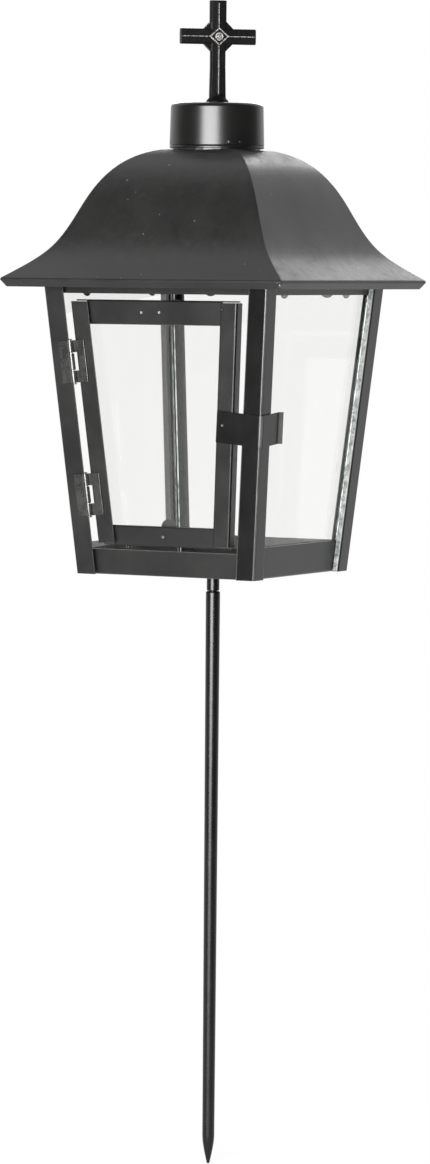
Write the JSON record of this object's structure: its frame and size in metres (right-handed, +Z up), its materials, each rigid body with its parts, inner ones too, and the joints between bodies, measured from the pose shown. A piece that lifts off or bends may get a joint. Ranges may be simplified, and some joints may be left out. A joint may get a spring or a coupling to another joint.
{
  "type": "grave lantern",
  "caption": "Black sheet-metal grave lantern with a glazed hinged door, an ogee roof, a round cap with a cross and a pointed ground spike.",
  "frame": {"origin": "the tip of the ground spike, on the lantern's upright axis", "axes": "+Z up along the spike, -Y out of the door, +X to the right of someone who faces the door"},
  "size_m": [0.157, 0.157, 0.5841],
  "materials": {
    "frame_paint": "satin",
    "roof_paint": "satin",
    "cap_paint": "satin",
    "cross_paint": "gloss",
    "spike_paint": "satin",
    "steel": "darkened",
    "glass": "clear"
  },
  "bodies": {
    "spike": {"spike_rod": "spike_paint"},
    "lantern": {"floor_plate": "frame_paint", "post_front_left": "frame_paint", "post_front_right": "frame_paint", "post_back_right": "frame_paint", "post_back_left": "frame_paint", "bottom_rail_front": "frame_paint", "top_rail_front": "frame_paint", "bottom_rail_right": "frame_paint", "top_rail_right": "frame_paint", "bottom_rail_back": "frame_paint", "top_rail_back": "frame_paint", "bottom_rail_left": "frame_paint", "top_rail_left": "frame_paint", "pane_right": "glass", "pane_back": "glass", "pane_left": "glass", "pane_clip_right_a": "frame_paint", "pane_clip_right_b": "frame_paint", "pane_clip_back_a": "frame_paint", "pane_clip_back_b": "frame_paint", "pane_clip_left_a": "frame_paint", "pane_clip_left_b": "frame_paint", "roof": "roof_paint", "chimney_collar": "roof_paint", "spike_socket": "spike_paint", "hinge_lower_post_leaf": "frame_paint", "hinge_lower_pin": "steel", "hinge_upper_post_leaf": "frame_paint", "hinge_upper_pin": "steel"},
    "door": {"door_stile_hinge": "frame_paint", "door_stile_latch": "frame_paint", "door_rail_head": "frame_paint", "door_rail_foot": "frame_paint", "door_pane": "glass", "door_clip_foot": "frame_paint", "door_clip_head": "frame_paint", "latch_strap": "frame_paint", "hinge_lower_door_leaf": "frame_paint", "hinge_upper_door_leaf": "frame_paint"},
    "cap": {"cap": "cap_paint", "cross": "cross_paint", "cross_nut": "steel"}
  },
  "joints": [
    {"name": "lantern_turn", "type": "hinge", "parent": "spike", "child": "lantern", "pos_m": [0, 0, 0.2955], "axis": [0, 0, 1], "continuous": true},
    {"name": "door_swing", "type": "hinge", "parent": "lantern", "child": "door", "pos_m": [-0.04106, -0.05532, 0.339], "axis": [0.088, 0.088, -0.9922], "range_deg": [0, 170]},
    {"name": "cap_turn", "type": "hinge", "parent": "lantern", "child": "cap", "pos_m": [0, 0, 0.515], "axis": [0, 0, 1], "continuous": true}
  ]
}
